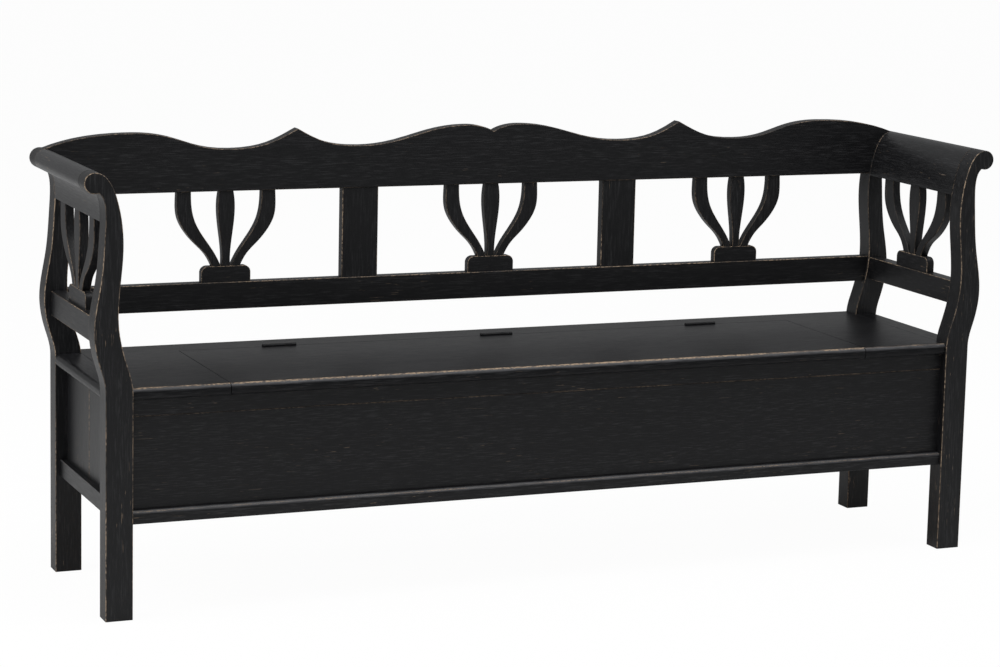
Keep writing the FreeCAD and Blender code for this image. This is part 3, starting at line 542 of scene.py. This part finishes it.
@dataclass
class Posts(SubAssembly):
    """The four legs that run up into the arms."""

    name: ClassVar[str] = "posts"
    wear: float = 1.0
    specular: float = 0.22

    def dresses(self) -> list[Dress]:
        """List what each post wears."""
        paint = BlackPaint(Axis.Z, Edge.BOARD_Y, specular=self.specular, wear=self.wear)
        return [Dress(f"post_{row}_{side}", paint)
                for row in ("front", "back") for side in ("left", "right")]


@dataclass
class Arms(SubAssembly):
    """Arm boards, the rails below them and the side splats."""

    name: ClassVar[str] = "arms"
    roll_roughness: float = 0.36
    roll_specular: float = 0.36
    bar_wear: float = 0.4

    def dresses(self) -> list[Dress]:
        """List what each piece of the two arms wears.

        Returns:
            One entry for each piece.
        """
        rolled = BlackPaint(Axis.Y, Edge.BOARD_Y, roughness=self.roll_roughness,
                            specular=self.roll_specular)
        upright = BlackPaint(Axis.Z, Edge.BOARD_X, wear=self.bar_wear)
        rows = []
        for side in ("left", "right"):
            rows += [Dress(f"arm_board_{side}", rolled),
                     Dress(f"arm_rail_{side}", BlackPaint(Axis.Y)),
                     Dress(f"side_splat_base_{side}", BlackPaint(Axis.Y, Edge.BOARD_X))]
            rows += [Dress(f"side_bar_{bar}_{side}", upright)
                     for bar in ("middle", "back", "front")]
        return rows


@dataclass
class Backrest(SubAssembly):
    """Crest rail, lower rail, stiles and the three splats."""

    name: ClassVar[str] = "backrest"
    bays: tuple[str, ...] = ("left", "centre", "right")
    crest_wear: float = 0.5
    bar_wear: float = 0.4
    rail_flecks: float = 0.4

    def dresses(self) -> list[Dress]:
        """List what each piece of the backrest wears.

        Returns:
            One entry for each piece.
        """
        crest = BlackPaint(Axis.X, Edge.BOARD_Y, wear=self.crest_wear, flecks=self.rail_flecks)
        upright = BlackPaint(Axis.Z, Edge.BOARD_Y, wear=self.bar_wear)
        rows = [Dress("crest_rail", crest),
                Dress("back_lower_rail", BlackPaint(Axis.X, flecks=self.rail_flecks)),
                Dress("back_stile_left", BlackPaint(Axis.Z)),
                Dress("back_stile_right", BlackPaint(Axis.Z))]
        for bay in self.bays:
            rows.append(Dress(f"back_{bay}_splat_base", BlackPaint(Axis.X, Edge.BOARD_Y)))
            rows += [Dress(f"back_{bay}_bar_{bar}", upright)
                     for bar in ("middle", "left", "right")]
        return rows


@dataclass
class Seat(SubAssembly):
    """The lid and the fixed boards around it."""

    name: ClassVar[str] = "seat"
    roughness: float = 0.36
    specular: float = 0.10
    flecks: float = 0.4
    nosing_wear: float = 1.3

    def dresses(self) -> list[Dress]:
        """List what each seat board wears.

        Returns:
            One entry for each board.
        """
        gloss = {"roughness": self.roughness, "specular": self.specular, "flecks": self.flecks}
        top = BlackPaint(Axis.X, Edge.NOSING, wear=self.nosing_wear, **gloss)
        rows = [Dress("seat_lid", top), Dress("seat_hinge_strip", top)]
        for side in ("left", "right"):
            rows += [Dress(f"seat_end_board_{side}", top),
                     Dress(f"seat_side_strip_{side}", BlackPaint(Axis.Y, Edge.NONE, **gloss)),
                     Dress(f"lid_batten_{side}", BareWood(Axis.Y))]
        return rows


@dataclass
class Chest(SubAssembly):
    """The box under the seat."""

    name: ClassVar[str] = "chest"
    panel_wear: float = 0.4
    panel_flecks: float = 0.4
    moulding_wear: float = 0.5

    def dresses(self) -> list[Dress]:
        """List what each piece of the chest wears.

        Returns:
            One entry for each piece.
        """
        rail = BlackPaint(Axis.X, wear=self.panel_wear)
        panel = BlackPaint(Axis.X, wear=self.panel_wear, flecks=self.panel_flecks)
        long_moulding = BlackPaint(Axis.X, Edge.MOULDING, wear=self.moulding_wear)
        short_moulding = BlackPaint(Axis.Y, Edge.MOULDING, wear=self.moulding_wear)
        rows = []
        for where in ("front", "back"):
            rows += [Dress(f"{where}_top_rail", rail), Dress(f"{where}_panel", panel),
                     Dress(f"{where}_bottom_rail", long_moulding)]
        for side in ("left", "right"):
            rows += [Dress(f"side_bottom_rail_{side}", short_moulding),
                     Dress(f"side_board_front_{side}", BlackPaint(Axis.Z)),
                     Dress(f"side_board_back_{side}", BlackPaint(Axis.Z))]
        return rows + [Dress(node, BareWood(Axis.X))
                       for node in ("chest_floor", "floor_cleat_front", "floor_cleat_back")]


@dataclass
class Hinges(SubAssembly):
    """The lid's hinges with their pins and screws."""

    name: ClassVar[str] = "hinges"
    roughness: float = 0.36
    specular: float = 0.10

    def dresses(self) -> list[Dress]:
        """List what each hinge piece wears.

        Returns:
            One entry for each node.
        """
        painted = BlackPaint(Axis.X, Edge.NONE, roughness=self.roughness,
                             specular=self.specular, flecks=0.0)
        screw = Steel("screw_steel")
        return [Dress("hinge_leaves_fixed", painted), Dress("hinge_leaves_moving", painted),
                Dress("hinge_pins", painted), Dress("hinge_screws_fixed", screw),
                Dress("hinge_screws_moving", screw)]


@dataclass
class SoftBox:
    """One large soft light."""

    name: str
    place: Place
    aim: Place
    size: tuple[float, float]
    power: float

    def build(self) -> None:
        """Make the light, turned to its aim."""
        data = bpy.data.lights.new(self.name, "AREA")
        data.shape = "RECTANGLE"
        data.size, data.size_y = self.size
        data.energy = self.power
        lamp = bpy.data.objects.new(self.name, data)
        lamp.location = self.place
        direction = Vector(self.aim) - Vector(self.place)
        lamp.rotation_euler = direction.to_track_quat("-Z", "Y").to_euler()
        bpy.context.scene.collection.objects.link(lamp)
        LOG.info("light: %s", self.name)


@dataclass
class Studio:
    """Plain pale floor, surroundings that are white to the camera, and soft light."""

    floor_half: float = 20.0
    floor_gap: float = 0.0006
    floor_grey: Colour = (0.80, 0.80, 0.80)
    floor_white: float = 0.97
    ambient: float = 0.34
    ambient_tint: Colour = (0.98, 0.99, 1.0)
    mirrored: float = 0.08
    boxes: tuple[SoftBox, ...] = (
        SoftBox("light_left", (-3.6, -0.2, 3.0), (-0.4, 0.0, 0.5), (2.4, 2.4), 115.0),
        SoftBox("light_top", (0.6, -0.9, 3.4), (0.2, 0.0, 0.4), (3.6, 1.6), 90.0),
    )

    def build(self) -> None:
        """Make the surroundings, the floor and the lights."""
        self._world()
        self._floor()
        for box in self.boxes:
            box.build()

    def _world(self) -> None:
        """White to the camera, a plain grey light to everything else."""
        world = bpy.data.worlds.new("studio")
        bpy.context.scene.world = world
        world.use_nodes = True
        nodes = Nodes(world.node_tree)
        white, lit = nodes.add("ShaderNodeBackground"), nodes.add("ShaderNodeBackground")
        white.inputs["Color"].default_value = (1.0, 1.0, 1.0, 1.0)
        lit.inputs["Color"].default_value = (*self.ambient_tint, 1.0)
        lit.inputs["Strength"].default_value = self.ambient
        nodes.blend(self._shown(nodes), lit, white, "ShaderNodeOutputWorld")

    def _shown(self, nodes: Nodes) -> Socket:
        """Find how much of the white surroundings a ray sees.

        Args:
            nodes: Nodes of the floor or the world.

        Returns:
            One for what the camera sees or looks through, and the mirrored share for a
            reflection.
        """
        path = nodes.add("ShaderNodeLightPath")
        glossy = nodes.math("MULTIPLY", path.outputs["Is Glossy Ray"], self.mirrored)
        seen = nodes.math("MAXIMUM", path.outputs["Is Camera Ray"],
                          path.outputs["Is Transmission Ray"])
        return nodes.math("MAXIMUM", seen, glossy)

    def _floor(self) -> None:
        """Pale floor just under the feet, which keeps the bench's shadow."""
        half = self.floor_half
        mesh = bpy.data.meshes.new("floor")
        corners = [(-half, -half, 0), (half, -half, 0), (half, half, 0), (-half, half, 0)]
        mesh.from_pydata(corners, [], [(0, 1, 2, 3)])
        floor = bpy.data.objects.new("floor", mesh)
        floor.location.z = -self.floor_gap
        bpy.context.scene.collection.objects.link(floor)
        made, nodes = blank("floor")
        matt, white = nodes.add("ShaderNodeBsdfDiffuse"), nodes.add("ShaderNodeEmission")
        matt.inputs["Color"].default_value = (*self.floor_grey, 1.0)
        white.inputs["Strength"].default_value = 1.0
        share = nodes.math("MULTIPLY", self._shown(nodes), self.floor_white)
        nodes.blend(share, matt, white, "ShaderNodeOutputMaterial")
        mesh.materials.append(made)
        LOG.info("floor: %.0f m square", 2 * half)


@dataclass
class PhotoCamera:
    """Camera at the photograph's viewing angle: yaw and down in degrees, roll in radians."""

    place: Place = (-2.2832, -5.3184, 1.4944)
    yaw: float = 23.597
    down: float = 9.050
    roll: float = 0.0251
    lens: float = 102.54
    sensor: float = 36.0
    shift: tuple[float, float] = (-0.042, -0.047)

    def build(self) -> None:
        """Make the camera and use it."""
        data = bpy.data.cameras.new("camera")
        data.sensor_width = self.sensor
        data.lens = self.lens
        data.shift_x, data.shift_y = self.shift
        camera = bpy.data.objects.new("camera", data)
        turn = (Matrix.Rotation(math.radians(-self.yaw), 4, "Z")
                @ Matrix.Rotation(math.radians(90.0 - self.down), 4, "X")
                @ Matrix.Rotation(self.roll, 4, "Z"))
        camera.matrix_world = Matrix.Translation(Vector(self.place)) @ turn
        bpy.context.scene.collection.objects.link(camera)
        bpy.context.scene.camera = camera
        LOG.info("camera: lens %.1f mm", self.lens)


def main() -> None:
    """Finish the bench part by part, then light it and place the camera."""
    logging.basicConfig(level=logging.INFO, format="%(name)s %(message)s")
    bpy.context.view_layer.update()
    bpy.context.scene.view_settings.view_transform = "Standard"
    finishes = Finishes()
    parts = (Posts, Arms, Backrest, Seat, Chest, Hinges)
    count = sum(part(finishes).build() for part in parts)
    LOG.info("%d of %d nodes finished", count, len(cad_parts))
    Studio().build()
    PhotoCamera().build()


if __name__ == "__main__":
    main()
